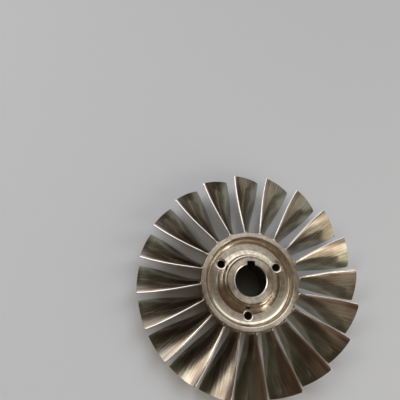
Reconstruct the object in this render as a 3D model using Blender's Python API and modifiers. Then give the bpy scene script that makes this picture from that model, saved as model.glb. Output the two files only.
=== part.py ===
# Axial bladed wheel, 181 mm across, as machined from one round blank.
# Blender 4.5, metres, +Z up. The wheel lies on the back face of its hub, front face up.
# The shaft axis is +Z through the origin, and the keyway is toward +Y.
import math

import bmesh
import bpy
from mathutils import Vector

# Driving dimensions
MM = 0.001
GAP = 0.3 * MM

BLADE_COUNT = 20
TIP_RADIUS = 90.7 * MM
FIRST_BLADE_ANGLE = math.radians(96.6)
BLADE_PITCH = math.tau / BLADE_COUNT

BORE_RADIUS = 12.7 * MM
CHAMFER_WIDTH = 0.8 * MM
CHAMFER_DEPTH = 0.45 * MM
KEYWAY_WIDTH = 6.35 * MM
KEYWAY_DEPTH = 3.0 * MM

BOSS_FACE_Z = 26.3 * MM
BOSS_FACE_RADIUS = 18.3 * MM
BOSS_STEP_Z = 24.3 * MM
BOSS_STEP_RADIUS = 19.6 * MM
BOSS_OUTER_RADIUS = 20.5 * MM
SHOULDER_Z = 23.95 * MM
FLANK_TOP_RADIUS = 21.95 * MM
FLANK_TOP_Z = 18.4 * MM
FLANK_FOOT_RADIUS = 26.05 * MM
FLANK_FOOT_Z = 17.1 * MM
FLANK_HOLLOW = 0.25
BACK_BOSS_RADIUS = 20.0 * MM
BACK_BOSS_CHAMFER = 0.9 * MM

WEB_FRONT_Z = 16.9 * MM
WEB_BACK_Z = 6.25 * MM
WEB_RADIUS = 31.3 * MM
BOLT_CIRCLE_RADIUS = 26.6 * MM
BOLT_HOLE_RADIUS = 3.0 * MM
BOLT_SINK_RADIUS = 4.4 * MM
BOLT_SINK_DEPTH = 1.3 * MM
SINK_LIP = 0.1 * MM
BOLT_HOLE_ANGLES = (150.0, 30.0, -90.0)

RIM_FRONT_Z = 23.95 * MM
RIM_BACK_Z = 4.0 * MM
RIM_OUTER_RADIUS = 39.55 * MM
RIM_EDGE_CHAMFER = 0.45 * MM
RECESS_EDGE_RADIUS = 36.2 * MM
RECESS_LEDGE_RADIUS = 34.2 * MM
RECESS_LEDGE_Z = 21.4 * MM
RECESS_CONE_RADIUS = 33.75 * MM
RECESS_CONE_Z = 17.7 * MM
RECESS_FLOOR_RADIUS = 31.85 * MM
BACK_RECESS_RADIUS = 33.55 * MM

# Blade edges at the root, at the middle of the span and at the tip.
# Angles are counted from the blade's own station, positive against the clock.
LEADING_ANGLES = (0.9, 3.2, 2.9)
TRAILING_ANGLES = (-5.8, -11.0, -12.2)
LEADING_HEIGHTS = (23.75 * MM, 22.3 * MM, 22.15 * MM)
TRAILING_HEIGHTS = (5.1 * MM, 5.6 * MM, 7.1 * MM)
BLADE_THICKNESS = (3.1 * MM, 2.2 * MM, 1.55 * MM)
BLADE_CAMBER = (0.075, 0.055, 0.035)
EDGE_THICKNESS = 0.8 * MM
FOOT_HEIGHT = 2.2 * MM
FOOT_FLARE = 1.7 * MM

# Fineness of the round and curved surfaces
TURNED_STEPS = 72
HOLE_SIDES = 24
SPAN_BANDS = 6
FOOT_BANDS = 2
CHORD_STATIONS = 8
FLANK_POINTS = 4


def clear_scene():
    """Remove whatever the open file holds."""
    for item in list(bpy.data.objects):
        bpy.data.objects.remove(item, do_unlink=True)


def new_collection(name):
    """A collection linked to the scene."""
    collection = bpy.data.collections.new(name)
    bpy.context.scene.collection.children.link(collection)
    return collection


def metal(name, colour, roughness):
    """Bare metal with one colour and one roughness."""
    material = bpy.data.materials.new(name)
    material.use_nodes = True
    shader = material.node_tree.nodes["Principled BSDF"]
    shader.inputs["Base Color"].default_value = (*colour, 1.0)
    shader.inputs["Metallic"].default_value = 1.0
    shader.inputs["Roughness"].default_value = roughness
    material.diffuse_color = (*colour, 1.0)
    return material


def turned(name, profile, material, collection, steps=TURNED_STEPS):
    """A ring turned from a closed profile that runs down its outer side."""
    mesh = bpy.data.meshes.new(name)
    count = len(profile)
    edges = [(index, (index + 1) % count) for index in range(count)]
    mesh.from_pydata([(radius, 0.0, height) for radius, height in profile], edges, [])
    ring = bpy.data.objects.new(name, mesh)
    collection.objects.link(ring)
    screw = ring.modifiers.new("Turning", "SCREW")
    screw.axis = "Z"
    screw.angle = math.tau
    screw.steps = steps
    screw.render_steps = steps
    screw.use_merge_vertices = True
    screw.merge_threshold = 0.00001
    mesh.materials.append(material)
    return ring


def as_cutter(item):
    """Show a cutting body only as wire."""
    item.hide_render = True
    item.display_type = "WIRE"


def cut(item, cutter, name):
    """Take one body out of another."""
    boolean = item.modifiers.new(name, "BOOLEAN")
    boolean.operation = "DIFFERENCE"
    boolean.solver = "EXACT"
    boolean.object = cutter


def mesh_object(name, shape, collection):
    """An object from a bmesh, with its normals facing out."""
    bmesh.ops.recalc_face_normals(shape, faces=shape.faces)
    mesh = bpy.data.meshes.new(name)
    shape.to_mesh(mesh)
    shape.free()
    item = bpy.data.objects.new(name, mesh)
    collection.objects.link(item)
    return item


def keyway_cutter(collection):
    """A bar along the bore that leaves the keyway."""
    shape = bmesh.new()
    bmesh.ops.create_cube(shape, size=1.0)
    depth = BORE_RADIUS + KEYWAY_DEPTH
    length = BOSS_FACE_Z * 1.4
    bmesh.ops.scale(shape, vec=(KEYWAY_WIDTH, depth, length), verts=shape.verts)
    bmesh.ops.translate(shape, vec=(0.0, depth / 2, BOSS_FACE_Z / 2), verts=shape.verts)
    cutter = mesh_object("keyway_cutter", shape, collection)
    as_cutter(cutter)
    return cutter


def bolt_hole_cutter(name, angle, collection):
    """A drill with its countersink, standing on the bolt circle, clear above the flank."""
    steps = (
        (BOLT_SINK_RADIUS, BOSS_FACE_Z),
        (BOLT_SINK_RADIUS, WEB_FRONT_Z + SINK_LIP),
        (BOLT_HOLE_RADIUS, WEB_FRONT_Z - BOLT_SINK_DEPTH),
        (BOLT_HOLE_RADIUS, RIM_BACK_Z),
    )
    shape = bmesh.new()
    rings = []
    for radius, height in steps:
        circle = bmesh.ops.create_circle(shape, segments=HOLE_SIDES, radius=radius)
        bmesh.ops.translate(shape, vec=(0.0, 0.0, height), verts=circle["verts"])
        rings.append(circle["verts"])
    for upper, lower in zip(rings, rings[1:]):
        for index in range(HOLE_SIDES):
            after = (index + 1) % HOLE_SIDES
            shape.faces.new((upper[index], lower[index], lower[after], upper[after]))
    shape.faces.new(rings[0])
    shape.faces.new(rings[-1])
    cutter = mesh_object(name, shape, collection)
    cutter.location = (BOLT_CIRCLE_RADIUS * math.cos(angle), BOLT_CIRCLE_RADIUS * math.sin(angle), 0.0)
    as_cutter(cutter)
    return cutter


def build_boss(material, collection, cutters):
    """The raised middle of the hub, with the keyed bore."""
    profile = [
        (BORE_RADIUS + CHAMFER_WIDTH, BOSS_FACE_Z),
        (BOSS_FACE_RADIUS, BOSS_FACE_Z),
        (BOSS_STEP_RADIUS, BOSS_STEP_Z),
        (BOSS_OUTER_RADIUS, SHOULDER_Z),
        (BOSS_OUTER_RADIUS, WEB_BACK_Z),
        (BACK_BOSS_RADIUS, WEB_BACK_Z),
        (BACK_BOSS_RADIUS, BACK_BOSS_CHAMFER),
        (BACK_BOSS_RADIUS - BACK_BOSS_CHAMFER, 0.0),
        (BORE_RADIUS + CHAMFER_WIDTH, 0.0),
        (BORE_RADIUS, CHAMFER_DEPTH),
        (BORE_RADIUS, BOSS_FACE_Z - CHAMFER_DEPTH),
    ]
    boss = turned("hub_boss", profile, material, collection)
    cut(boss, keyway_cutter(cutters), "Keyway")
    return boss


def build_web(material, collection, cutters):
    """The disc between boss and rim, with the boss's steep side, hollow flank and three holes."""
    inner = BOSS_OUTER_RADIUS + GAP
    flank = []
    for index in range(FLANK_POINTS):
        share = index / (FLANK_POINTS - 1)
        drop = share * (1.0 + FLANK_HOLLOW) - FLANK_HOLLOW * share ** 2
        radius = FLANK_TOP_RADIUS + (FLANK_FOOT_RADIUS - FLANK_TOP_RADIUS) * share
        flank.append((radius, FLANK_TOP_Z - (FLANK_TOP_Z - FLANK_FOOT_Z) * drop))
    profile = [
        (inner, SHOULDER_Z),
        *flank,
        (FLANK_FOOT_RADIUS + GAP, WEB_FRONT_Z),
        (WEB_RADIUS, WEB_FRONT_Z),
        (WEB_RADIUS, WEB_BACK_Z),
        (inner, WEB_BACK_Z),
    ]
    web = turned("hub_web", profile, material, collection)
    for number, angle in enumerate(BOLT_HOLE_ANGLES, 1):
        cutter = bolt_hole_cutter(f"bolt_hole_cutter_{number}", math.radians(angle), cutters)
        cut(web, cutter, f"Bolt hole {number}")
    return web


def build_rim(material, collection):
    """The ring that carries the blades, with the wall of the recess inside it."""
    inner = WEB_RADIUS + GAP
    profile = [
        (RECESS_EDGE_RADIUS, RIM_FRONT_Z),
        (RIM_OUTER_RADIUS - RIM_EDGE_CHAMFER, RIM_FRONT_Z),
        (RIM_OUTER_RADIUS, RIM_FRONT_Z - RIM_EDGE_CHAMFER),
        (RIM_OUTER_RADIUS, RIM_BACK_Z + RIM_EDGE_CHAMFER),
        (RIM_OUTER_RADIUS - RIM_EDGE_CHAMFER, RIM_BACK_Z),
        (BACK_RECESS_RADIUS, RIM_BACK_Z),
        (inner, WEB_BACK_Z),
        (inner, WEB_FRONT_Z),
        (RECESS_FLOOR_RADIUS, WEB_FRONT_Z),
        (RECESS_CONE_RADIUS, RECESS_CONE_Z),
        (RECESS_LEDGE_RADIUS, RECESS_LEDGE_Z),
    ]
    return turned("blade_rim", profile, material, collection)


def along_span(values, share):
    """A smooth curve through the values at root, middle and tip."""
    root, middle, tip = values
    return (
        root * (1.0 - share) * (1.0 - 2.0 * share)
        + middle * 4.0 * share * (1.0 - share)
        + tip * share * (2.0 * share - 1.0)
    )


def half_thickness(share, thickest):
    """Half the blade's thickness at a share of its chord."""
    body = math.sin(math.pi * share ** 0.8) ** 0.75 if 0.0 < share < 1.0 else 0.0
    return max(EDGE_THICKNESS, EDGE_THICKNESS + (thickest - EDGE_THICKNESS) * body) / 2


def edge_point(radius, share, angles, heights):
    """Where an edge of the blade crosses one cylinder, as (distance round, height)."""
    return Vector((radius * math.radians(along_span(angles, share)), along_span(heights, share)))


def blade_section(radius, share, flare):
    """The outline of the blade where it crosses one cylinder about the shaft."""
    front = edge_point(radius, share, LEADING_ANGLES, LEADING_HEIGHTS)
    back = edge_point(radius, share, TRAILING_ANGLES, TRAILING_HEIGHTS)
    chord = back - front
    across = Vector((chord.y, -chord.x)).normalized()
    bulge = along_span(BLADE_CAMBER, share) * chord.length
    thickest = along_span(BLADE_THICKNESS, share)
    upper = []
    lower = []
    for index in range(CHORD_STATIONS + 1):
        place = 0.5 - 0.5 * math.cos(math.pi * index / CHORD_STATIONS)
        middle = front + chord * place + across * (4.0 * bulge * place * (1.0 - place))
        half = half_thickness(place, thickest) + flare
        upper.append(middle + across * half)
        lower.append(middle - across * half)
    along = chord.normalized()
    nose = EDGE_THICKNESS / 2 + flare
    for side in (upper, lower):
        side[0] = side[0] - along * nose * 0.4
        side[-1] = side[-1] + along * nose * 0.4
    return upper + lower[::-1]


def on_cylinder(point, radius, station):
    """Wrap a point of a section around the shaft at its radius."""
    angle = station + point.x / radius
    height = min(max(point.y, RIM_BACK_Z + 0.2 * MM), RIM_FRONT_Z)
    return (radius * math.cos(angle), radius * math.sin(angle), height)


def blade_levels():
    """The radius and the extra half thickness of each section, root to tip."""
    root = RIM_OUTER_RADIUS + GAP
    levels = []
    for index in range(FOOT_BANDS):
        rise = index / FOOT_BANDS
        levels.append((root + FOOT_HEIGHT * rise, FOOT_FLARE * (1.0 - math.sqrt(rise * (2.0 - rise)))))
    start = root + FOOT_HEIGHT
    for index in range(SPAN_BANDS + 1):
        levels.append((start + (TIP_RADIUS - start) * index / SPAN_BANDS, 0.0))
    return levels


def build_blade(number, material, collection):
    """One twisted blade, lofted over cylinders about the shaft."""
    station = FIRST_BLADE_ANGLE - BLADE_PITCH * (number - 1)
    root = RIM_OUTER_RADIUS + GAP
    shape = bmesh.new()
    rings = []
    for radius, flare in blade_levels():
        share = (radius - root) / (TIP_RADIUS - root)
        outline = blade_section(radius, share, flare)
        rings.append([shape.verts.new(on_cylinder(point, radius, station)) for point in outline])
    count = len(rings[0])
    for below, above in zip(rings, rings[1:]):
        for index in range(count):
            after = (index + 1) % count
            shape.faces.new((below[index], below[after], above[after], above[index]))
    for ring in (rings[0], rings[-1]):
        half = count // 2
        for index in range(half - 1):
            mirror = count - 1 - index
            shape.faces.new((ring[index], ring[index + 1], ring[mirror - 1], ring[mirror]))
    blade = mesh_object(f"blade_{number:02d}", shape, collection)
    blade.data.materials.append(material)
    return blade


def smooth(item):
    """Shade curved faces smooth and keep the real edges sharp."""
    item.data.shade_smooth()
    item.data.set_sharp_from_angle(angle=math.radians(35.0))


def main():
    clear_scene()
    wheel = new_collection("impeller_wheel")
    cutters = new_collection("impeller_cutters")
    hub_metal = metal("turned_steel", (0.56, 0.50, 0.44), 0.28)
    blade_metal = metal("milled_steel", (0.42, 0.39, 0.34), 0.34)
    pieces = [
        build_boss(hub_metal, wheel, cutters),
        build_web(hub_metal, wheel, cutters),
        build_rim(hub_metal, wheel),
    ]
    for number in range(1, BLADE_COUNT + 1):
        pieces.append(build_blade(number, blade_metal, wheel))
    for piece in pieces:
        smooth(piece)


main()
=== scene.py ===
# %% [markdown]
# # A bladed steel wheel, lit on a plain table
# The real wheel is cut from one round of stainless steel. The middle is turned on a lathe,
# and the twenty blades are milled out of the rim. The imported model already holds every
# piece at its true size and place, so this script keeps that frame and gives each piece a
# finer surface and a real finish. Everything is in metres, the shaft axis is +Z through the
# origin, and the wheel lies on its back face.

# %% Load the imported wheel
import math

import bmesh
import bpy
from mathutils import Euler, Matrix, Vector


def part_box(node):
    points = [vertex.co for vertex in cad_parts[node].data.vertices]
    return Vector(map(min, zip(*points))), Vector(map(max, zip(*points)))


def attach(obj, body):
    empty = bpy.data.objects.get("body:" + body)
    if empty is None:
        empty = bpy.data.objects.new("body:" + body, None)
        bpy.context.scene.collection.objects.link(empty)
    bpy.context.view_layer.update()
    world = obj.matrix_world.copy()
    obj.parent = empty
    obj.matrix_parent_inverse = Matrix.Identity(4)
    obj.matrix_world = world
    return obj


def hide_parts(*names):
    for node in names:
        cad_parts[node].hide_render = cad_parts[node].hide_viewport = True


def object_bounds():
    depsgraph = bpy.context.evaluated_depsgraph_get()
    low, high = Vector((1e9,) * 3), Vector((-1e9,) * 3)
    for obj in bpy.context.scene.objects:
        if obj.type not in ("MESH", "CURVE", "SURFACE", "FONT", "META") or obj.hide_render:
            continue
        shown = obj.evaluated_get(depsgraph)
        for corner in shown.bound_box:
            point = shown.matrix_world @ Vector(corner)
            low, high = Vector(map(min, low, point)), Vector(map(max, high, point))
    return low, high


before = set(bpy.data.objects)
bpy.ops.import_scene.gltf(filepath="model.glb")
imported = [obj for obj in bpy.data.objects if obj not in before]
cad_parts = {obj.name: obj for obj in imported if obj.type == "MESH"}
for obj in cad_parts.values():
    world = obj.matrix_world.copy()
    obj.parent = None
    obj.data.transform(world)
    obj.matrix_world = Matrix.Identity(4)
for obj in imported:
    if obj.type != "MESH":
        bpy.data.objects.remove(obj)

MM = 0.001
cad_low, cad_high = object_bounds()
print("packed wheel:", [round(side / MM, 1) for side in cad_high - cad_low], "mm")

# %% [markdown]
# ## The sizes that everything follows
# The outer sizes are read from the frame, so the finer surfaces land where the solids are.
# A box can't tell how wide the bore or a groove is. Each of those sizes is written in
# millimetres, as a machinist would write it on the drawing, beside the piece that needs it.
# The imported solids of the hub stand 0.3 mm apart. Here each one grows by half of that, so
# that boss, web and rim meet without a gap, as they do in one piece of steel.

# %% Read the outer sizes from the frame
SOLID_GAP = 0.3 * MM
boss_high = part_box("hub_boss")[1]
web_low, web_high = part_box("hub_web")
rim_low, rim_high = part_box("blade_rim")
blade_names = sorted(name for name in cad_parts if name[-2:].isdigit())
TIP_RADIUS = cad_high.y
RIM_RADIUS = rim_high.x
RIM_FRONT = rim_high.z
RIM_BACK = rim_low.z
BOSS_FRONT = boss_high.z
SHOULDER = web_high.z
WEB_BACK = web_low.z
WEB_RADIUS = web_high.x + SOLID_GAP / 2
BOSS_RADIUS = boss_high.x + SOLID_GAP / 2
print(len(blade_names), "blades, tip radius", round(TIP_RADIUS / MM, 2), "mm")

# %% [markdown]
# ## A turned profile with broken corners
# No edge on a lathe job is left knife sharp. The tool leaves a small radius in each inside
# corner, and a file takes the bite off each outside one. A Bevel modifier could do this
# after the turning, but it would also bevel the cuts of the keyway and the holes. Rounding
# the profile before it is turned is simpler, and each corner can have its own radius. The
# Screw modifier is the lathe: it sweeps the profile once round the shaft axis.

# %% Round the corners of a profile
CORNER_STEPS = 4
LONGEST_SHARE = 0.45


def rounded(corners):
    """Turn (radius, height, rounding) corners of a closed profile into points with arcs.

    An arc takes no more than LONGEST_SHARE of the shorter side beside its corner.
    """
    points = []
    count = len(corners)
    for index, (radius, height, rounding) in enumerate(corners):
        corner = Vector((radius, height))
        if rounding == 0.0:
            points.append(corner)
            continue
        before = Vector(corners[index - 1][:2]) - corner
        after = Vector(corners[(index + 1) % count][:2]) - corner
        half = before.angle(after) / 2
        longest = LONGEST_SHARE * min(before.length, after.length)
        reach = min(rounding / math.tan(half), longest)
        size = reach * math.tan(half)
        middle = (before.normalized() + after.normalized()).normalized()
        centre = corner + middle * (size / math.sin(half))
        start = corner + before.normalized() * reach - centre
        end = corner + after.normalized() * reach - centre
        for step in range(CORNER_STEPS + 1):
            share = step / CORNER_STEPS
            point = start.lerp(end, share).normalized() * size
            points.append(centre + point)
    return points


# %% Turn a profile about the shaft axis
TURNED_STEPS = 240
TOUCH = 0.001 * MM


def turned(name, points):
    """A ring turned about the shaft axis from points that run down its outer side."""
    mesh = bpy.data.meshes.new(name)
    count = len(points)
    edges = [(index, (index + 1) % count) for index in range(count)]
    mesh.from_pydata([(point.x, 0.0, point.y) for point in points], edges, [])
    ring = bpy.data.objects.new(name, mesh)
    bpy.context.scene.collection.objects.link(ring)
    screw = ring.modifiers.new("Turning", "SCREW")
    screw.axis = "Z"
    screw.steps = TURNED_STEPS
    screw.render_steps = TURNED_STEPS
    screw.use_merge_vertices = True
    screw.merge_threshold = TOUCH
    return ring


# %% Keep a turned piece as a plain mesh
TURNED_SHARP_ANGLE = 32.0


def settle(item):
    """Keep what the modifiers made as the object's own mesh, smooth but with its edges sharp."""
    graph = bpy.context.evaluated_depsgraph_get()
    mesh = bpy.data.meshes.new_from_object(item.evaluated_get(graph))
    item.modifiers.clear()
    item.data = mesh
    mesh.shade_smooth()
    mesh.set_sharp_from_angle(angle=math.radians(TURNED_SHARP_ANGLE))
    print(item.name, len(mesh.polygons), "faces")


# %% [markdown]
# ## Tools for the keyway and the holes
# The keyway is broached, and the bolt holes are drilled and countersunk. Their edges could
# be built into the mesh point by point. A Boolean modifier is shorter and truer: it takes a
# body of the tool's own shape out of the piece, as the real tool does. The holes sit so
# close to the boss that the countersink also bites into its flank, and the cutter carries
# on upward to leave that notch.

# %% Make a cutting body and cut with it
def cutting_body(name, shape):
    """A cutter from a bmesh, never rendered."""
    bmesh.ops.recalc_face_normals(shape, faces=shape.faces)
    mesh = bpy.data.meshes.new(name)
    shape.to_mesh(mesh)
    shape.free()
    cutter = bpy.data.objects.new(name, mesh)
    bpy.context.scene.collection.objects.link(cutter)
    cutter.hide_render = True
    cutter.display_type = "WIRE"
    print(name, len(mesh.polygons), "faces")
    return cutter


def cut(item, cutter):
    """Take the cutter out of the piece."""
    step = item.modifiers.new(cutter.name, "BOOLEAN")
    step.operation = "DIFFERENCE"
    step.solver = "EXACT"
    step.object = cutter


# %% Shape the broach for the keyway
BORE_RADIUS = 12.7 * MM
KEYWAY_WIDTH = 6.35 * MM
KEYWAY_DEPTH = 3.0 * MM
KEYWAY_CORNER = 0.25 * MM
KEYWAY_CORNER_STEPS = 3
BROACH_LENGTH = 1.4 * BOSS_FRONT


def broach():
    """A bar that leaves the keyway, with its two outer corners a little round."""
    shape = bmesh.new()
    bmesh.ops.create_cube(shape, size=1.0)
    reach = BORE_RADIUS + KEYWAY_DEPTH
    bmesh.ops.scale(shape, vec=(KEYWAY_WIDTH, reach, BROACH_LENGTH), verts=shape.verts)
    bmesh.ops.translate(shape, vec=(0.0, reach / 2, BOSS_FRONT / 2), verts=shape.verts)
    outer = [edge for edge in shape.edges if all(vert.co.y > reach / 2 for vert in edge.verts)]
    upright = [edge for edge in outer if edge.calc_length() > BOSS_FRONT]
    bmesh.ops.bevel(
        shape, geom=upright, offset=KEYWAY_CORNER, segments=KEYWAY_CORNER_STEPS, affect="EDGES",
    )
    return cutting_body("keyway_broach", shape)


# %% Draw the drill with its countersink
WEB_FRONT = 16.9 * MM
BOLT_HOLE_RADIUS = 3.0 * MM
BOLT_SINK_RADIUS = 4.4 * MM
BOLT_SINK_DEPTH = 1.3 * MM
SINK_ABOVE_FLOOR = 0.05 * MM
DISH_TO_HOLE = 0.2 * MM
DISH_DEGREES = range(22, 83, 12)
BACK_CONE_RISE = 0.4 * MM
BACK_CONE_WIDTH = 1.0 * MM
DRILL_OVERRUN = 0.6 * MM


def drill_side():
    """The drill's outline as (radius, height) points. Its cone is worn to a dish."""
    dish = []
    for degrees in DISH_DEGREES:
        turn = math.radians(degrees)
        radius = BOLT_SINK_RADIUS - (BOLT_SINK_RADIUS - BOLT_HOLE_RADIUS) * math.sin(turn)
        dish.append((radius, WEB_FRONT - BOLT_SINK_DEPTH * (1.0 - math.cos(turn))))
    return [
        (0.0, BOSS_FRONT),
        (BOLT_SINK_RADIUS, BOSS_FRONT),
        (BOLT_SINK_RADIUS, WEB_FRONT + SINK_ABOVE_FLOOR),
        *dish,
        (BOLT_HOLE_RADIUS, WEB_FRONT - BOLT_SINK_DEPTH - DISH_TO_HOLE),
        (BOLT_HOLE_RADIUS, WEB_BACK + BACK_CONE_RISE),
        (BOLT_HOLE_RADIUS + BACK_CONE_WIDTH, WEB_BACK - DRILL_OVERRUN),
        (0.0, WEB_BACK - DRILL_OVERRUN),
    ]


# %% Shape the drill
BOLT_CIRCLE_RADIUS = 26.6 * MM
HOLE_SIDES = 72


def countersink(number, angle):
    """A drill with its countersink, standing on the bolt circle."""
    shape = bmesh.new()
    line = [shape.verts.new((radius, 0.0, height)) for radius, height in drill_side()]
    edges = [shape.edges.new(pair) for pair in zip(line, line[1:])]
    bmesh.ops.spin(
        shape, geom=line + edges, cent=(0, 0, 0), axis=(0, 0, 1),
        angle=math.tau, steps=HOLE_SIDES, use_merge=True,
    )
    bmesh.ops.remove_doubles(shape, verts=shape.verts, dist=TOUCH)
    place = (BOLT_CIRCLE_RADIUS * math.cos(angle), BOLT_CIRCLE_RADIUS * math.sin(angle), 0.0)
    bmesh.ops.translate(shape, vec=place, verts=shape.verts)
    return cutting_body(f"countersink_{number}", shape)


# %% [markdown]
# ## The boss
# The boss is the raised middle that grips the shaft. Its face is a flat ring. At the edge of
# the ring the metal falls in two slopes, the upper one laid back, and the bore has a bright
# chamfer at both ends. Loops on a cylinder could be pushed to the same outline, but a list
# of corners reads like the drawing: each line is a radius, a height and a rounding.

# %% The sizes of the boss
CHAMFER_WIDTH = 0.8 * MM
CHAMFER_DEPTH = 0.45 * MM
BOSS_FACE_RADIUS = 18.3 * MM
BOSS_STEP_RADIUS = 19.6 * MM
BOSS_STEP = 24.3 * MM
BOSS_BEND_INSET = 0.4 * MM
BOSS_BEND_DROP = 0.8 * MM
BACK_BOSS_RADIUS = 20.0 * MM
BACK_BOSS_CHAMFER = 0.9 * MM
CHAMFER_ROUNDING = 0.08 * MM
EDGE_ROUNDING = 0.15 * MM
STEP_ROUNDING = 0.20 * MM
BACK_CORNER_ROUNDING = 0.3 * MM

# %% Turn the boss and broach its keyway
boss_profile = [
    (BORE_RADIUS + CHAMFER_WIDTH, BOSS_FRONT, CHAMFER_ROUNDING),
    (BOSS_FACE_RADIUS, BOSS_FRONT, EDGE_ROUNDING),
    (BOSS_STEP_RADIUS - BOSS_BEND_INSET, BOSS_FRONT - BOSS_BEND_DROP, STEP_ROUNDING),
    (BOSS_STEP_RADIUS, BOSS_STEP, STEP_ROUNDING),
    (BOSS_RADIUS, SHOULDER, 0.0),
    (BOSS_RADIUS, WEB_BACK, 0.0),
    (BACK_BOSS_RADIUS, WEB_BACK, BACK_CORNER_ROUNDING),
    (BACK_BOSS_RADIUS, BACK_BOSS_CHAMFER, EDGE_ROUNDING),
    (BACK_BOSS_RADIUS - BACK_BOSS_CHAMFER, 0.0, EDGE_ROUNDING),
    (BORE_RADIUS + CHAMFER_WIDTH, 0.0, CHAMFER_ROUNDING),
    (BORE_RADIUS, CHAMFER_DEPTH, CHAMFER_ROUNDING),
    (BORE_RADIUS, BOSS_FRONT - CHAMFER_DEPTH, CHAMFER_ROUNDING),
]
boss = turned("boss_turned", rounded(boss_profile))
cut(boss, broach())
settle(boss)

# %% [markdown]
# ## The web
# Outside the boss a steep side drops to a shallow hollow flank, which runs out to the flat
# floor of the recess. A faint ring at the flank's foot marks where its tool stopped, and
# three countersunk holes pass through. A subdivided surface would soften these edges. A
# turned profile keeps them, and a short formula gives the hollow its curve.

# %% The sizes of the web
FLANK_TOP_RADIUS = 21.95 * MM
FLANK_TOP = 18.4 * MM
FLANK_FOOT_RADIUS = 26.05 * MM
FLANK_FOOT = 17.1 * MM
FLANK_HOLLOW = 0.25
FLANK_STEPS = 8
FLANK_RING_WIDTH = 0.3 * MM
FLANK_TOP_ROUNDING = 0.5 * MM
FLANK_RING_ROUNDING = 0.1 * MM
BOLT_HOLE_ANGLES = (150.0, 30.0, -90.0)


def hollow(start, end, bend, steps):
    """Corners of a shallow hollow from one point to another, steeper where it starts."""
    found = []
    for step in range(1, steps):
        share = step / steps
        drop = share * (1.0 + bend) - bend * share ** 2
        radius = start[0] + (end[0] - start[0]) * share
        height = start[1] + (end[1] - start[1]) * drop
        found.append((radius, height, 0.0))
    return found


# %% Turn the web and drill its holes
flank_top = (FLANK_TOP_RADIUS, FLANK_TOP)
flank_foot = (FLANK_FOOT_RADIUS, FLANK_FOOT)
web_profile = [
    (BOSS_RADIUS, SHOULDER, 0.0),
    (*flank_top, FLANK_TOP_ROUNDING),
    *hollow(flank_top, flank_foot, FLANK_HOLLOW, FLANK_STEPS),
    (*flank_foot, FLANK_RING_ROUNDING),
    (FLANK_FOOT_RADIUS + FLANK_RING_WIDTH, WEB_FRONT, FLANK_RING_ROUNDING),
    (WEB_RADIUS, WEB_FRONT, 0.0),
    (WEB_RADIUS, WEB_BACK, 0.0),
    (BOSS_RADIUS, WEB_BACK, 0.0),
]
web = turned("web_turned", rounded(web_profile))
for number, angle in enumerate(BOLT_HOLE_ANGLES, 1):
    cut(web, countersink(number, math.radians(angle)))
settle(web)

# %% [markdown]
# ## The rim
# The rim closes the recess and carries the blades on its outside. From the floor it climbs
# through a soft corner and a low cone, a steep wall and a sloping ledge, to a narrow flat
# face whose inner edge is broken. It could be one piece with the web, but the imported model
# has two, and each fine piece stands for one solid. A short flat at the rim's foot lets the
# soft corner start level with the floor, so no seam shows between them.

# %% The sizes of the rim
RECESS_FLOOR_RADIUS = 31.85 * MM
RECESS_CONE_RADIUS = 33.75 * MM
RECESS_CONE = 17.7 * MM
RECESS_LEDGE_RADIUS = 34.2 * MM
RECESS_LEDGE = 21.4 * MM
RECESS_EDGE_RADIUS = 36.2 * MM
BROKEN_EDGE_INSIDE = 0.45 * MM
BROKEN_EDGE_OUTSIDE = 0.10 * MM
BROKEN_EDGE_DROP = 0.26 * MM
BACK_RECESS_RADIUS = 33.55 * MM
FLOOR_CORNER_ROUNDING = 3.0 * MM
LEDGE_ROUNDING = 0.3 * MM
BROKEN_EDGE_ROUNDING = 0.12 * MM
RIM_ROUNDING = 0.4 * MM

# %% Turn the rim
rim_profile = [
    (RECESS_EDGE_RADIUS - BROKEN_EDGE_INSIDE, RIM_FRONT - BROKEN_EDGE_DROP, BROKEN_EDGE_ROUNDING),
    (RECESS_EDGE_RADIUS + BROKEN_EDGE_OUTSIDE, RIM_FRONT, BROKEN_EDGE_ROUNDING),
    (RIM_RADIUS, RIM_FRONT, RIM_ROUNDING),
    (RIM_RADIUS, RIM_BACK, RIM_ROUNDING),
    (BACK_RECESS_RADIUS, RIM_BACK, RIM_ROUNDING),
    (WEB_RADIUS, WEB_BACK, 0.0),
    (WEB_RADIUS, WEB_FRONT, 0.0),
    (RECESS_FLOOR_RADIUS, WEB_FRONT, FLOOR_CORNER_ROUNDING),
    (RECESS_CONE_RADIUS, RECESS_CONE, LEDGE_ROUNDING),
    (RECESS_LEDGE_RADIUS, RECESS_LEDGE, LEDGE_ROUNDING),
]
rim = turned("rim_turned", rounded(rim_profile))
settle(rim)

# %% [markdown]
# ## The blades
# A blade is a thin twisted wing. Near the rim it stands almost along the shaft, and toward
# the tip it lies over. It could be drawn as a flat card and bent, but the milled blade has
# a true section at every radius: a round nose, a body that swells and thins, and a hollow
# corner where it grows out of the rim. So each blade is lofted over cylinders about the
# shaft, one section on each, from the same edge lines as the solid.

# %% The lines of the blade
BLADE_PITCH = math.tau / len(blade_names)
FIRST_BLADE_ANGLE = math.radians(96.6)
LEADING_ANGLES = (0.9, 3.2, 2.9)
TRAILING_ANGLES = (-5.8, -11.0, -12.2)
LEADING_HEIGHTS = (23.75 * MM, 22.3 * MM, 22.15 * MM)
TRAILING_HEIGHTS = (5.1 * MM, 5.6 * MM, 7.1 * MM)
BLADE_THICKNESS = (3.1 * MM, 2.2 * MM, 1.55 * MM)
BLADE_CAMBER = (0.075, 0.055, 0.035)


def along_span(values, share):
    """A smooth curve through the values at root, middle and tip."""
    root, middle, tip = values
    return (
        root * (1.0 - share) * (1.0 - 2.0 * share)
        + middle * 4.0 * share * (1.0 - share)
        + tip * share * (2.0 * share - 1.0)
    )


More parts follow.
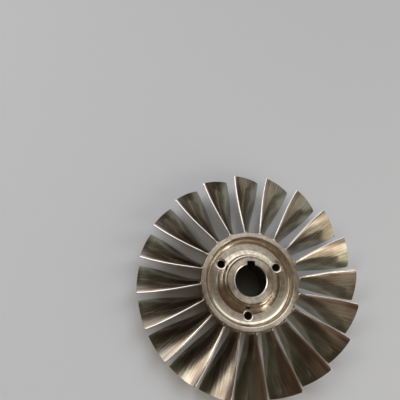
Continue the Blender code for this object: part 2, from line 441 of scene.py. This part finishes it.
# %% The thickness along a section
EDGE_THICKNESS = 0.8 * MM
BODY_LEAN = 0.8
BODY_FULLNESS = 0.75


def half_thickness(place, chord, thickest):
    """Half the blade's thickness at a share of its chord, with round ends."""
    edge = EDGE_THICKNESS / 2
    inward = min(place, 1.0 - place) * chord / edge
    nose = math.sqrt(1.0 - (1.0 - min(inward, 1.0)) ** 2)
    swelling = math.sin(math.pi * place ** BODY_LEAN) if 0.0 < place < 1.0 else 0.0
    return edge * nose + (thickest / 2 - edge) * swelling ** BODY_FULLNESS


# %% One section of the blade
CHORD_STATIONS = 26
FLARE_SQUARENESS = 8


def edge_point(radius, share, angles, heights):
    """Where an edge of the blade crosses one cylinder, as (distance round, height)."""
    return Vector((radius * math.radians(along_span(angles, share)), along_span(heights, share)))


def blade_section(radius, share, flare, shrink):
    """Points of one section, nose first, and each one's place along it."""
    front = edge_point(radius, share, LEADING_ANGLES, LEADING_HEIGHTS)
    back = edge_point(radius, share, TRAILING_ANGLES, TRAILING_HEIGHTS)
    chord = back - front
    across = Vector((chord.y, -chord.x)).normalized()
    bulge = along_span(BLADE_CAMBER, share) * chord.length
    thickest = along_span(BLADE_THICKNESS, share)
    sides = ([], [])
    for index in range(CHORD_STATIONS + 1):
        place = 0.5 - 0.5 * math.cos(math.pi * index / CHORD_STATIONS)
        middle = front + chord * place + across * (4.0 * bulge * place * (1.0 - place))
        middle += chord.normalized() * flare * (2.0 * place - 1.0)
        half = half_thickness(place, chord.length, thickest)
        ends = math.sqrt(max(0.0, 1.0 - (2.0 * place - 1.0) ** FLARE_SQUARENESS))
        half = max(0.0, half * (1.0 - shrink) + flare * ends)
        sides[0].append((middle + across * half, place * chord.length))
        sides[1].append((middle - across * half, -place * chord.length))
    return sides[0] + sides[1][-2:0:-1]


# %% The cylinders that carry the sections
FOOT_SINK = 0.05 * MM
FOOT_HEIGHT = 2.4 * MM
FOOT_FLARE = 2.0 * MM
FOOT_BANDS = 10
SPAN_BANDS = 30
TIP_BREAK = 0.15 * MM
TIP_SHRINK = 0.25


def blade_levels():
    """Radius, flare and shrinkage of each section, root to tip."""
    root = RIM_RADIUS - FOOT_SINK
    levels = []
    for index in range(FOOT_BANDS):
        rise = 1.0 - math.cos(math.pi / 2 * index / FOOT_BANDS)
        flare = FOOT_FLARE * (1.0 - math.sqrt(rise * (2.0 - rise)))
        levels.append((root + FOOT_HEIGHT * rise, flare, 0.0))
    start = root + FOOT_HEIGHT
    span = TIP_RADIUS - TIP_BREAK - start
    for index in range(SPAN_BANDS + 1):
        levels.append((start + span * index / SPAN_BANDS, 0.0, 0.0))
    levels.append((TIP_RADIUS, 0.0, TIP_SHRINK))
    return levels


# %% Wrap and join the sections
FOOT_CLEARANCE = 0.1 * MM


def on_cylinder(point, radius, station):
    """Wrap a point of a section around the shaft at its radius."""
    angle = station + point.x / radius
    height = min(max(point.y, RIM_BACK + FOOT_CLEARANCE), RIM_FRONT)
    return (radius * math.cos(angle), radius * math.sin(angle), height)


def blade_faces(levels, count):
    """The faces between the sections and over both ends, as (level, place) corners."""
    faces = []
    for level in range(levels - 1):
        for index in range(count):
            after = (index + 1) % count
            faces.append([(level, index), (level, after), (level + 1, after), (level + 1, index)])
    for level in (0, levels - 1):
        for index in range(CHORD_STATIONS):
            places = (index, index + 1, (count - index - 1) % count, (count - index) % count)
            corners = [(level, place) for place in dict.fromkeys(places)]
            faces.append(corners[::-1] if level == 0 else corners)
    return faces


# %% Loft the blades
MAP_SCALE = 10.0
BLADE_SHARP_ANGLE = 38.0


def loft_blade(name, number):
    """A blade with a milling map: U runs out along it, V down from its leading edge."""
    station = FIRST_BLADE_ANGLE - BLADE_PITCH * number
    rings = []
    for radius, flare, shrink in blade_levels():
        share = max(0.0, (radius - RIM_RADIUS) / (TIP_RADIUS - RIM_RADIUS))
        rings.append((radius, blade_section(radius, share, flare, shrink)))
    points = []
    for radius, outline in rings:
        points += [on_cylinder(point, radius, station) for point, _ in outline]
    count = len(rings[0][1])
    faces = blade_faces(len(rings), count)
    marks = [(rings[level][0], rings[level][1][place][1]) for face in faces for level, place in face]
    mesh = bpy.data.meshes.new(name)
    mesh.from_pydata(points, [], [[level * count + place for level, place in face] for face in faces])
    layer = mesh.uv_layers.new(name="milling")
    layer.data.foreach_set("uv", [value * MAP_SCALE for mark in marks for value in mark])
    mesh.shade_smooth()
    mesh.set_sharp_from_angle(angle=math.radians(BLADE_SHARP_ANGLE))
    item = bpy.data.objects.new(name, mesh)
    bpy.context.scene.collection.objects.link(item)
    return item


blades = [loft_blade(f"{name}_milled", number) for number, name in enumerate(blade_names)]
print(len(blades), "blades of", len(blades[0].data.polygons), "faces each")

# %% [markdown]
# ## Helpers for materials
# Every finish here is a tree of shader nodes. Such a tree can be wired by hand in the Shader
# Editor, but in a script each node and each link would take a line of its own. The first
# helper adds a node and also joins it: an input is given either a value or another node's
# output. The others are for the few kinds of node that come again and again, so that each
# line of a material says one thing about the metal.

# %% Add a node and join it
def add_node(tree, kind, inputs=None, **settings):
    """A node with its settings, each input a value or the output that feeds it."""
    node = tree.nodes.new(kind)
    for key, value in settings.items():
        setattr(node, key, value)
    for key, value in (inputs or {}).items():
        if isinstance(value, bpy.types.NodeSocket):
            tree.links.new(value, node.inputs[key])
        else:
            node.inputs[key].default_value = value
    return node


def feed(tree, shader, sources):
    """Join each output to the shader's input of that name."""
    for name, output in sources.items():
        tree.links.new(output, shader.inputs[name])


# %% Helpers for grey values
NOISE_LOW = 0.3
NOISE_HIGH = 0.7
TONE_LOW = 0.43
TONE_HIGH = 0.57


def noise(tree, place, scale, detail, roughness=0.5, distortion=0.0):
    """The grey value of a noise at a place, with so many lumps to the unit."""
    inputs = {
        "Vector": place, "Scale": scale, "Detail": detail,
        "Roughness": roughness, "Distortion": distortion,
    }
    return add_node(tree, "ShaderNodeTexNoise", inputs).outputs["Fac"]


def mix(tree, share, first, second):
    """Two grey values blended, with the share of the second."""
    return add_node(tree, "ShaderNodeMix", {0: share, 2: first, 3: second}).outputs[0]


def maths(tree, operation, *values, **settings):
    """The result of one operation on grey values."""
    inputs = dict(enumerate(values))
    return add_node(tree, "ShaderNodeMath", inputs, operation=operation, **settings).outputs[0]


def spread(tree, value, start, end, low=0.0, high=1.0, **settings):
    """A value that goes from low to high as the given one goes from start to end."""
    inputs = {"Value": value, "From Min": start, "From Max": end, "To Min": low, "To Max": high}
    return add_node(tree, "ShaderNodeMapRange", inputs, **settings).outputs["Result"]


# %% Helpers for colours, bumps and places
def mix_colour(tree, share, first, second, **settings):
    """Two colours blended, with the share of the second."""
    inputs = {0: share, 6: first, 7: second}
    return add_node(tree, "ShaderNodeMix", inputs, data_type="RGBA", **settings).outputs[2]


def ramp(tree, value, *stops):
    """A colour between two stops, each a value and its colour."""
    node = add_node(tree, "ShaderNodeValToRGB", {"Fac": value})
    for element, (position, colour) in zip(node.color_ramp.elements, stops):
        element.position = position
        element.color = colour
    return node.outputs["Color"]


def raised(tree, value, strength, height, **under):
    """A surface bumped by a grey value, over the bumps under it."""
    inputs = {"Height": value, "Strength": strength, "Distance": height, **under}
    return add_node(tree, "ShaderNodeBump", inputs).outputs["Normal"]


def vectors(tree, operation, *values):
    """A node for one operation on whole vectors."""
    return add_node(tree, "ShaderNodeVectorMath", dict(enumerate(values)), operation=operation)


# %% Start a metal
QUARTER_TURN = 0.25


def new_metal(name, roughness, anisotropy, turn):
    """An empty metal material and its shader."""
    material = bpy.data.materials.new(name)
    material.use_nodes = True
    tree = material.node_tree
    shader = tree.nodes["Principled BSDF"]
    shader.inputs["Metallic"].default_value = 1.0
    shader.inputs["Roughness"].default_value = roughness
    shader.inputs["Anisotropic"].default_value = anisotropy
    shader.inputs["Anisotropic Rotation"].default_value = turn
    return material, tree, shader


# %% [markdown]
# ## Turned steel
# A lathe leaves fine rings. They throw the light outward from the shaft, which is why a
# turned disc shows two bright fans. The rings are far too fine to model, so the shader's
# anisotropy spreads the gloss across them. Noise that knows only radius and height gives
# the rings that the eye can make out, fine and coarse, and noise in all directions adds
# broad stains and the specks of a chattering tool. One recipe makes three metals, because
# a facing tool leaves flat faces rougher than the cones and walls beside them.

# %% Find the ring that a point lies on
def ring_place(tree, place):
    """The place's radius and height, which stay the same all the way round."""
    parts = add_node(tree, "ShaderNodeSeparateXYZ", {"Vector": place}).outputs
    flat = add_node(tree, "ShaderNodeCombineXYZ", {"X": parts["X"], "Y": parts["Y"]}).outputs[0]
    radius = vectors(tree, "LENGTH", flat).outputs["Value"]
    return add_node(tree, "ShaderNodeCombineXYZ", {"X": radius, "Y": parts["Z"]}).outputs[0]


# %% Mix the turned steel
DARK_TURNED = (0.40, 0.338, 0.255, 1.0)
PALE_TURNED = (0.77, 0.685, 0.56, 1.0)
BROAD_RING_SHARE = 0.5
STAIN_SHARE = 0.28
CHATTER_SHARE = 0.22
GLOSS_LOW = 0.92
GLOSS_HIGH = 1.08


def turned_steel(name, roughness, anisotropy):
    """Warm bare steel with round tool marks about the shaft."""
    material, tree, shader = new_metal(name, roughness, anisotropy, QUARTER_TURN)
    place = add_node(tree, "ShaderNodeTexCoord").outputs["Object"]
    ring = ring_place(tree, place)
    fine = noise(tree, ring, scale=7700.0, detail=2.0)
    coarse = noise(tree, ring, scale=440.0, detail=4.0, roughness=0.75)
    broad = noise(tree, ring, scale=300.0, detail=1.0)
    stain = noise(tree, place, scale=60.0, detail=4.0, distortion=0.4)
    chatter = noise(tree, place, scale=360.0, detail=2.0)
    rings = mix(tree, BROAD_RING_SHARE, coarse, broad)
    stained = mix(tree, STAIN_SHARE, rings, stain)
    speckled = mix(tree, CHATTER_SHARE, stained, chatter)
    least, most = GLOSS_LOW * roughness, GLOSS_HIGH * roughness
    surface = raised(tree, fine, strength=0.25, height=0.02 * MM)
    surface = raised(tree, coarse, strength=0.5, height=0.07 * MM, Normal=surface)
    surface = raised(tree, chatter, strength=0.5, height=0.06 * MM, Normal=surface)
    round_shaft = add_node(tree, "ShaderNodeTangent", direction_type="RADIAL", axis="Z")
    feed(tree, shader, {
        "Base Color": ramp(tree, speckled, (TONE_LOW, DARK_TURNED), (TONE_HIGH, PALE_TURNED)),
        "Roughness": spread(tree, stain, NOISE_LOW, NOISE_HIGH, least, most),
        "Normal": surface,
        "Tangent": round_shaft.outputs["Tangent"],
    })
    return material


# %% Lay the turned steel on the hub
hub_steel = turned_steel("turned_steel", roughness=0.21, anisotropy=0.6)
faced_steel = turned_steel("faced_steel", roughness=0.37, anisotropy=0.95)
boss_steel = turned_steel("boss_steel", roughness=0.38, anisotropy=0.95)
for item in (boss, web, rim):
    item.data.materials.clear()
    item.data.materials.append(hub_steel)
print("turned steel:", len(hub_steel.node_tree.nodes), "nodes")

# %% Lay the rougher steel on the flat faces
FLAT_FACING = 0.995


def mark_faces(item, material, chosen):
    """Give the faces that pass the test a metal of their own."""
    item.data.materials.append(material)
    slot = len(item.data.materials) - 1
    faces = [face for face in item.data.polygons if chosen(face)]
    for face in faces:
        face.material_index = slot
    print(item.name, len(faces), "faces in", material.name)


for item, metal in ((boss, boss_steel), (web, faced_steel), (rim, faced_steel)):
    mark_faces(item, metal, lambda face: abs(face.normal.z) > FLAT_FACING)

# %% [markdown]
# ## Drilled and honed steel, with painted highlights and painted shade
# The lathe didn't finish every face of the hub. A countersink leaves a bright cone. The
# chamfers of the bore and the front corner of the boss have been rubbed bright. Their pale
# colour is also a painted highlight, in place of the light these edges catch. The bore itself
# is honed smooth for its shaft, and its darker colour is painted shade for the darkness inside
# it. These could be separate objects, but then their edges would have to meet. Two more metals
# in slots of the same mesh are simpler, and the faces for them are found by where their middles lie.

# %% Mix a smooth metal
MARK_STRETCH = (300.0, 300.0, 2500.0)
MARK_LOW = 0.35
MARK_HIGH = 0.65


def smooth_metal(name, low, high, roughness):
    """A smooth metal with faint marks round it, from its dark colour to its pale one."""
    material, tree, shader = new_metal(name, roughness, anisotropy=0.0, turn=0.0)
    place = add_node(tree, "ShaderNodeTexCoord").outputs["Object"]
    stretch = add_node(tree, "ShaderNodeMapping", {"Vector": place, "Scale": MARK_STRETCH})
    marks = noise(tree, stretch.outputs[0], scale=1.0, detail=2.0)
    feed(tree, shader, {
        "Base Color": ramp(tree, marks, (MARK_LOW, (*low, 1.0)), (MARK_HIGH, (*high, 1.0))),
        "Normal": raised(tree, marks, strength=0.2, height=0.02 * MM),
    })
    return material


# The drilled metal's pale colour is partly real bright cutting and partly a painted highlight on the
# cones and rubbed edges.
drilled_highlight_steel = smooth_metal(
    "drilled_highlight_steel", low=(0.72, 0.66, 0.58), high=(0.90, 0.85, 0.78), roughness=0.26,
)
# The honed metal is smooth, and its dark colour is painted shade inside the bore.
honed_shade_steel = smooth_metal(
    "honed_shade_steel", low=(0.30, 0.27, 0.23), high=(0.42, 0.38, 0.33), roughness=0.16,
)
print("smooth metals:", drilled_highlight_steel.name, "and", honed_shade_steel.name)

# %% Find the drilled and bored faces
HAIR = 0.01 * MM


def in_bolt_hole(face):
    """Is the face inside the reach of a countersink?"""
    for angle in BOLT_HOLE_ANGLES:
        turn = math.radians(angle)
        hole = Vector((math.cos(turn), math.sin(turn))) * BOLT_CIRCLE_RADIUS
        if (face.center.xy - hole).length < BOLT_SINK_RADIUS + TOUCH:
            return True
    return False


def in_bore(face):
    """Is the face on the bore or in the keyway?"""
    point = face.center
    in_keyway = abs(point.x) < KEYWAY_WIDTH / 2 + HAIR and point.y > 0.0
    reach = BORE_RADIUS + (KEYWAY_DEPTH if in_keyway else 0.0)
    inner = point.xy.length < reach + HAIR
    return inner and CHAMFER_DEPTH < point.z < BOSS_FRONT - CHAMFER_DEPTH


# %% Find the rubbed faces, and lay the smooth metals
CORNER_FACING = 0.60
CORNER_DEPTH = 0.2 * MM


def on_chamfer(face):
    """Is the face on the broken edge at either end of the bore?"""
    inner = face.center.xy.length < BORE_RADIUS + CHAMFER_WIDTH - HAIR
    return inner and not in_bore(face)


def on_boss_corner(face):
    """Is the face on the rounded corner of the boss's front?"""
    round_face = CORNER_FACING < face.normal.z < FLAT_FACING
    return round_face and face.center.z > BOSS_FRONT - CORNER_DEPTH


# The pale metal paints highlights on the holes, the chamfers and the boss corner, and the dark one
# paints shade in the bore.
mark_faces(web, drilled_highlight_steel, in_bolt_hole)
mark_faces(boss, honed_shade_steel, in_bore)
mark_faces(boss, drilled_highlight_steel, on_chamfer)
mark_faces(boss, drilled_highlight_steel, on_boss_corner)

# %% [markdown]
# ## Milled steel
# A ball cutter ran out and back along each blade, so its marks lie along the blade and
# stretch the gloss across it. The steel is a darker, browner grey than the hub's. It is
# tinted reddish at the leading edge and greener further in. That edge is worn bright and also
# carries a painted highlight, a pale band in place of the light its round nose catches, and
# the hollow foot is a paler brown. A painted image could hold all this.
# Noise and distances on the blade's own map need no image and stay sharp at any size, and
# the stains differ from blade to blade.

# %% Streaks, stains and tints on a blade
MAP_MM = MAP_SCALE * MM
STREAK_STRETCH = (1.3, 44.0, 1.0)
EDGE_TINT = (1.0, 0.90, 0.85, 1.0)
INNER_TINT = (0.94, 0.98, 0.90, 1.0)
TINT_DEPTH = (2.0 * MAP_MM, 17.0 * MAP_MM)
TINT_WANDER = 2.2


def blade_marks(tree, milling):
    """Grey values of the cutter's streaks and of broad stains."""
    stretch = add_node(tree, "ShaderNodeMapping", {"Vector": milling, "Scale": STREAK_STRETCH})
    streak = noise(tree, stretch.outputs[0], scale=1.0, detail=4.0, roughness=0.65)
    place = add_node(tree, "ShaderNodeTexCoord").outputs["Object"]
    return streak, noise(tree, place, scale=42.0, detail=3.0)


def edge_tinted(tree, colour, from_edge, stain):
    """The colour under a tint, reddish at the leading edge and greener inward, that wanders with the
    stains.
    """
    inward = spread(tree, from_edge, *TINT_DEPTH)
    wander = maths(tree, "MULTIPLY_ADD", stain, TINT_WANDER, -TINT_WANDER / 2)
    shift = maths(tree, "ADD", inward, wander, use_clamp=True)
    tint_blend = mix_colour(tree, shift, EDGE_TINT, INNER_TINT)
    return mix_colour(tree, 1.0, colour, tint_blend, blend_type="MULTIPLY")


# %% Wear and a painted highlight on the leading edge, and the foot
# The worn colour is partly a painted highlight, a pale band along the edge in place of the light it
# catches.
WORN_HIGHLIGHT_COLOUR = (0.93, 0.89, 0.83, 1.0)
FOOT_COLOUR = (0.52, 0.45, 0.365, 1.0)
WORN_HIGHLIGHT_DEPTH = (0.45 * MAP_MM, 1.5 * MAP_MM)
FOOT_END = (41.7 * MAP_MM, 47.0 * MAP_MM)


def worn_highlight_and_foot(tree, colour, from_edge, outward):
    """The colour with its leading edge worn bright and painted with a highlight, and its foot a paler
    brown.
    """
    worn_highlight = spread(tree, from_edge, *WORN_HIGHLIGHT_DEPTH, 1.0, 0.0, interpolation_type="SMOOTHSTEP")
    past_foot = spread(tree, outward, *FOOT_END)
    highlight_past_foot = maths(tree, "MULTIPLY", worn_highlight, past_foot)
    edge_highlighted = mix_colour(tree, highlight_past_foot, colour, WORN_HIGHLIGHT_COLOUR)
    return mix_colour(tree, past_foot, FOOT_COLOUR, edge_highlighted)


# %% Mix the milled steel
DARK_MILLED = (0.245, 0.219, 0.178, 1.0)
PALE_MILLED = (0.47, 0.434, 0.38, 1.0)
MILLED_GLOSS = (0.15, 0.24)


def milled_steel():
    """Satin blade steel with marks that run from rim to tip."""
    material, tree, shader = new_metal(
        "milled_steel", roughness=0.23, anisotropy=0.3, turn=QUARTER_TURN,
    )
    milling = add_node(tree, "ShaderNodeUVMap", uv_map="milling").outputs["UV"]
    parts = add_node(tree, "ShaderNodeSeparateXYZ", {"Vector": milling}).outputs
    from_edge = maths(tree, "ABSOLUTE", parts["Y"])
    streak, stain = blade_marks(tree, milling)
    both = maths(tree, "MULTIPLY_ADD", streak, 0.5, maths(tree, "MULTIPLY", stain, 0.5))
    steel = ramp(tree, both, (TONE_LOW, DARK_MILLED), (TONE_HIGH, PALE_MILLED))
    tinted = edge_tinted(tree, steel, from_edge, stain)
    along = add_node(tree, "ShaderNodeTangent", direction_type="UV_MAP", uv_map="milling")
    feed(tree, shader, {
        "Base Color": worn_highlight_and_foot(tree, tinted, from_edge, parts["X"]),
        "Roughness": spread(tree, streak, NOISE_LOW, NOISE_HIGH, *MILLED_GLOSS),
        "Normal": raised(tree, streak, strength=0.3, height=0.10 * MM),
        "Tangent": along.outputs["Tangent"],
    })
    return material


blade_steel = milled_steel()
for item in blades:
    item.data.materials.append(blade_steel)
print("milled steel:", len(blade_steel.node_tree.nodes), "nodes")

# %% [markdown]
# ## Give each piece its place in the frame
# The real wheel is one rigid piece of steel, so every piece rides on its one body. Parenting
# by hand would do the same. Each loop also hides the imported solid that the fine piece
# stands for.

# %% Tie the pieces to the solids
hub_pieces = ((boss, "hub_boss"), (web, "hub_web"), (rim, "blade_rim"))
for item, node in hub_pieces:
    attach(item, "root")
    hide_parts(node)
for item, node in zip(blades, blade_names):
    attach(item, "root")
    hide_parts(node)
print(len(hub_pieces) + len(blades), "pieces ride on the wheel's one body")

# %% [markdown]
# ## The table, and a dark disc of painted shade
# The wheel lies on a plain pale sheet, and the blades mirror it from below. A real sheet of
# paper sweeps up behind the object. A wide flat disc is enough here, because the camera sees
# a pale backdrop past its edge. The hub stands on a smaller dark disc that is hidden under it,
# painted shade for the bore and the bolt holes. Without it, the sheet would shine up through them.

# %% Lay the table and the dark disc of painted shade
SHEET_SIDES = 96
SHEET_ROUGHNESS = 0.9


def lay_sheet(name, radius, height, colour):
    """A round plain sheet, part of the stage."""
    shape = bmesh.new()
    bmesh.ops.create_circle(shape, cap_ends=True, segments=SHEET_SIDES, radius=radius)
    mesh = bpy.data.meshes.new(name)
    shape.to_mesh(mesh)
    shape.free()
    sheet = bpy.data.objects.new(name, mesh)
    sheet.location.z = height
    bpy.context.scene.collection.objects.link(sheet)
    material = bpy.data.materials.new(name)
    material.use_nodes = True
    shader = material.node_tree.nodes["Principled BSDF"]
    shader.inputs["Base Color"].default_value = (*colour, 1.0)
    shader.inputs["Roughness"].default_value = SHEET_ROUGHNESS
    mesh.materials.append(material)
    print(name, "radius", round(radius / MM), "mm")


lay_sheet("table_sheet", radius=2500 * MM, height=-0.10 * MM, colour=(0.86, 0.89, 0.93))
# This dark disc is painted shade, seen through the bore and the bolt holes.
lay_sheet("painted_shade_disc", radius=34 * MM, height=-0.05 * MM, colour=(0.095, 0.10, 0.09))

# %% [markdown]
# ## Studio light
# Bare metal shows what stands around it, so the places of the lights matter more than their
# power. A white panel hangs at the left. At the lower right a low warm panel reaches down to
# the table, with a narrow warm one and a small lamp above it. A low panel at the right lights
# the blades there, and a brown one in front fills the near side. Point lamps would show in
# the steel as dots. Area lights show as soft patches, like a photographer's panels, and each
# is placed here by its direction from the wheel.

# %% Hang the light panels
PANEL_DISTANCE = 1.2


def panel(name, azimuth, elevation, reach, power, colour):
    """A soft panel that faces the wheel and reaches so many degrees each way, across and up."""
    data = bpy.data.lights.new(name, "AREA")
    data.shape = "RECTANGLE"
    data.size = 2 * PANEL_DISTANCE * math.tan(math.radians(reach[0]))
    data.size_y = 2 * PANEL_DISTANCE * math.tan(math.radians(reach[1]))
    data.energy = power
    data.color = colour
    lamp = bpy.data.objects.new(name, data)
    turn, rise = math.radians(azimuth), math.radians(elevation)
    away = Vector((math.cos(turn) * math.cos(rise), math.sin(turn) * math.cos(rise), math.sin(rise)))
    lamp.location = away * PANEL_DISTANCE
    lamp.rotation_euler = (-away).to_track_quat("-Z", "Y").to_euler()
    lamp.visible_camera = False
    bpy.context.scene.collection.objects.link(lamp)
    print(name, "at azimuth", azimuth, "and elevation", elevation)


panel("white_panel", azimuth=158, elevation=41, reach=(16, 10), power=2.4, colour=(1.0, 0.97, 0.93))
panel("low_warm_panel", azimuth=327, elevation=15, reach=(13, 15), power=1.6, colour=(1.0, 0.93, 0.77))
panel("high_warm_panel", azimuth=336, elevation=33, reach=(12, 5), power=0.95, colour=(1.0, 0.95, 0.84))
panel("small_lamp", azimuth=324, elevation=46, reach=(3.5, 4), power=0.40, colour=(1.0, 0.97, 0.90))
panel("low_panel", azimuth=6, elevation=22, reach=(21, 14), power=0.85, colour=(1.0, 0.99, 0.93))
panel("fill_panel", azimuth=292, elevation=32, reach=(19, 14), power=0.42, colour=(1.0, 0.86, 0.73))

# %% [markdown]
# ## A dim room
# Where the steel doesn't mirror a panel, it mirrors the room. Real walls could be built round
# the wheel, but soft patches on Blender's world do the same with a few nodes: a weak brown
# glow all round, a redder glow high in front, and a pale wall high up behind the wheel. Only
# the wall is brighter than white. The camera itself sees a plain pale backdrop instead. The
# Light Path node makes that choice: it tells the rays that come straight from the camera
# from those that the steel sends on.

# %% The sizes and colours of the room
# Angles are in degrees, but the softness of the wall's edges is in radians. The two values
# for the front glow's side are cosines of the angle from the middle of the wall.
ROOM_GLOW = (0.080, 0.063, 0.046, 1.0)
FRONT_GLOW = (0.148, 0.102, 0.077, 1.0)
FRONT_GLOW_SIDE = (-0.1, -0.6)
FRONT_GLOW_FOOT = (28, 50)
WALL_GLOW = (1.66, 1.70, 1.76, 1.0)
WALL_AZIMUTH = 82.0
WALL_HALF_WIDTH = 50.0
WALL_SOFTNESS = 0.10
WALL_FOOT = (29, 40)
WALL_HEAD = (77, 66)
BACKDROP = (0.56, 0.56, 0.55, 1.0)


def soft_rise(tree, value, start, end):
    """A soft rise from 0 to 1 as the value goes from start to end."""
    return spread(tree, value, start, end, interpolation_type="SMOOTHSTEP")


def climb(tree, height, start, end):
    """A soft rise from 0 to 1 between two elevations in degrees."""
    return soft_rise(tree, height, math.sin(math.radians(start)), math.sin(math.radians(end)))


# %% Light the room
def facing_wall(tree, place):
    """How far a direction turns toward the wall: 1 at its middle, and -1 in front."""
    level = vectors(tree, "MULTIPLY", place, (1.0, 1.0, 0.0)).outputs[0]
    heading = vectors(tree, "NORMALIZE", level).outputs[0]
    turn = math.radians(WALL_AZIMUTH)
    middle = (math.cos(turn), math.sin(turn), 0.0)
    return vectors(tree, "DOT_PRODUCT", heading, middle).outputs["Value"]


def dim_room():
    """A brown glow, redder high in front, and a pale wall, with a backdrop for the camera."""
    world = bpy.data.worlds.new("dim_room")
    bpy.context.scene.world = world
    world.use_nodes = True
    tree = world.node_tree
    place = add_node(tree, "ShaderNodeTexCoord").outputs["Generated"]
    height = add_node(tree, "ShaderNodeSeparateXYZ", {"Vector": place}).outputs["Z"]
    facing = facing_wall(tree, place)
    edge = math.radians(WALL_HALF_WIDTH)
    side = soft_rise(tree, facing, math.cos(edge + WALL_SOFTNESS), math.cos(edge - WALL_SOFTNESS))
    tall = maths(tree, "MULTIPLY", climb(tree, height, *WALL_FOOT), climb(tree, height, *WALL_HEAD))
    wall = maths(tree, "MULTIPLY", tall, side)
    front = soft_rise(tree, facing, *FRONT_GLOW_SIDE)
    above = maths(tree, "MULTIPLY", front, climb(tree, height, *FRONT_GLOW_FOOT))
    room = mix_colour(tree, above, ROOM_GLOW, FRONT_GLOW)
    lit = mix_colour(tree, wall, room, WALL_GLOW)
    seen = add_node(tree, "ShaderNodeLightPath").outputs["Is Camera Ray"]
    feed(tree, tree.nodes["Background"], {"Color": mix_colour(tree, seen, lit, BACKDROP)})
    print("dim room:", len(tree.nodes), "nodes")


dim_room()
bpy.context.scene.view_settings.view_transform = "Standard"

# %% [markdown]
# ## The camera
# The viewer looks down on the wheel from the lower left, about 38 cm away, with a normal
# lens. A constraint could keep the camera aimed at the wheel, but that would put the wheel
# in the middle. Plain angles leave it low and right in the picture, where it belongs.

# %% Set the camera
CAMERA_PLACE = (-0.0693, -0.0491, 0.3668)
CAMERA_TURN = (18.125, -5.156, 2.715)
CAMERA_LENS = 38.7
camera_data = bpy.data.cameras.new("camera")
camera_data.lens = CAMERA_LENS
camera_data.sensor_width = 36.0
camera_data.clip_start = 0.01
camera = bpy.data.objects.new("camera", camera_data)
camera.location = CAMERA_PLACE
camera.rotation_euler = Euler([math.radians(turn) for turn in CAMERA_TURN])
bpy.context.scene.collection.objects.link(camera)
bpy.context.scene.camera = camera
print("camera", round(camera.location.length / MM), "mm away, lens", CAMERA_LENS, "mm")
